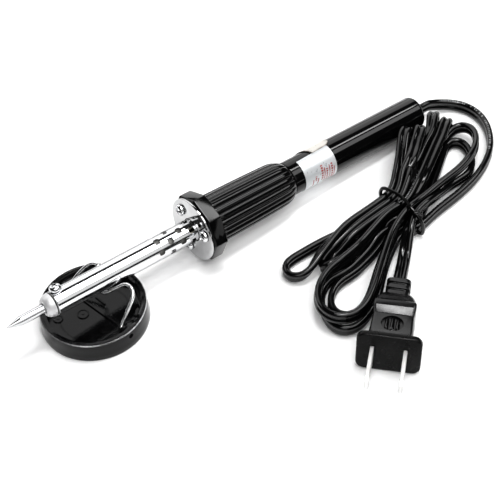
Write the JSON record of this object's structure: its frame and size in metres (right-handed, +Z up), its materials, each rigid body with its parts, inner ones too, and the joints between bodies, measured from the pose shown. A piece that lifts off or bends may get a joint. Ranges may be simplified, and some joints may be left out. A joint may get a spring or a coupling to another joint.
{
  "type": "soldering_iron_stand",
  "caption": "Pencil soldering iron resting on a small round black stand with a folding wire rest, with its tied flat mains cord and flat-blade plug",
  "frame": {"origin": "centre of the stand base's underside, on the bench", "axes": "+X along the iron from its tip towards the cord end, +Y away from the coiled cord, +Z up from the bench"},
  "size_m": [0.2376, 0.133, 0.0301],
  "materials": {
    "base_plastic": "black moulded plastic, satin outside, glossy inside the dish",
    "handle_plastic": "glossy black moulded plastic",
    "bright_steel": "bright plated steel",
    "mirror_plate": "mirror-polished plated steel",
    "tip_metal": "plated copper tip, finely turned",
    "ceramic_core": "unglazed ceramic former",
    "winding": "resistance wire winding",
    "mica": "mica wrap",
    "glass_sleeve": "woven glass sleeving",
    "foil": "silver-white foil label with plain red bars",
    "cord_pvc": "black flat twin flex, slightly glossy",
    "plug_plastic": "black moulded plug body",
    "blade_metal": "nickel-plated brass blades",
    "clamp_plastic": "grey moulded cord clamp",
    "tie_pvc": "black plastic-coated twist tie"
  },
  "bodies": {
    "stand": {"stand_base": "base_plastic"},
    "wire_rest": {"wire_rest": "bright_steel"},
    "iron": {"nozzle": "bright_steel", "barrel": "bright_steel", "heater_core": "ceramic_core", "heater_winding": "winding", "mica_sleeve": "mica", "lead_sleeve_1": "glass_sleeve", "lead_sleeve_2": "glass_sleeve", "crimp_1": "winding", "crimp_2": "winding", "mounting_plate": "mirror_plate", "plate_screw_1": "bright_steel", "plate_screw_2": "bright_steel", "plate_screw_3": "bright_steel", "octagon_collar": "handle_plastic", "fluted_grip": "handle_plastic", "rear_handle": "handle_plastic", "foil_label": "foil", "cord_clamp": "clamp_plastic", "cord_tail": "cord_pvc", "cord_run": "cord_pvc", "cord_hank": "cord_pvc", "cord_plug_lead": "cord_pvc", "hank_tie": "tie_pvc", "plug_body": "plug_plastic", "plug_blade_1": "blade_metal", "plug_blade_2": "blade_metal"},
    "tip": {"tip": "tip_metal"},
    "tip_screw": {"tip_set_screw": "bright_steel"}
  },
  "joints": [
    {"name": "rest_fold", "type": "hinge", "parent": "stand", "child": "wire_rest", "pos_m": [0, 0, 0.006], "axis": [-0.1616, 0.9869, 0], "range_deg": [0, 26]},
    {"name": "iron_lift", "type": "slide", "parent": "stand", "child": "iron", "axis": [0, 0, 1], "range_m": [0, 0.06]},
    {"name": "tip_pull", "type": "slide", "parent": "iron", "child": "tip", "axis": [-0.9981, 0, 0.0621], "range_m": [0, 0.02]},
    {"name": "tip_screw_turn", "type": "hinge", "parent": "iron", "child": "tip_screw", "pos_m": [-0.01285, 0.00299, 0.02412], "axis": [0.0592, 0.299, 0.9524], "continuous": true}
  ]
}
